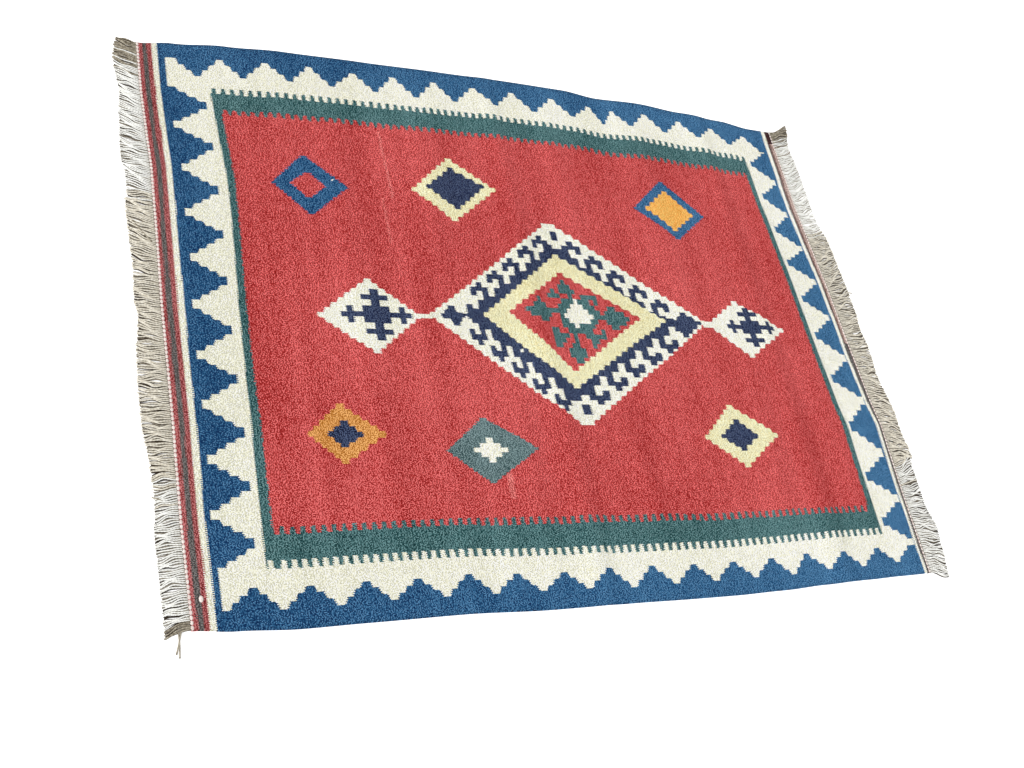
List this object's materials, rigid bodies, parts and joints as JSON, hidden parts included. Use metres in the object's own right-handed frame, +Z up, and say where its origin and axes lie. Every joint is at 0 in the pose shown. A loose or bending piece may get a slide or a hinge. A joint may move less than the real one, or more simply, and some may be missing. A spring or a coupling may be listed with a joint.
{
  "type": "kilim rug",
  "caption": "Flat slit-woven kilim rug with a stepped medallion, small diamonds, zigzag borders, end stripes and a corded warp fringe at both ends.",
  "frame": {"origin": "on the floor under the middle of the rug's whole outline, fringes included", "axes": "+X along the rug's length, from the left fringe to the right one; +Y from the near selvedge to the far one; +Z up from the floor, through the cloth"},
  "size_m": [1.4557, 1.046, 0.0075],
  "materials": {
    "woven_wool": "matt ribbed wool",
    "fringe_cotton": "matt twisted cotton"
  },
  "bodies": {
    "root": {"rug_cloth": "woven_wool", "fringe_left": "fringe_cotton", "fringe_right": "fringe_cotton"}
  },
  "joints": []
}
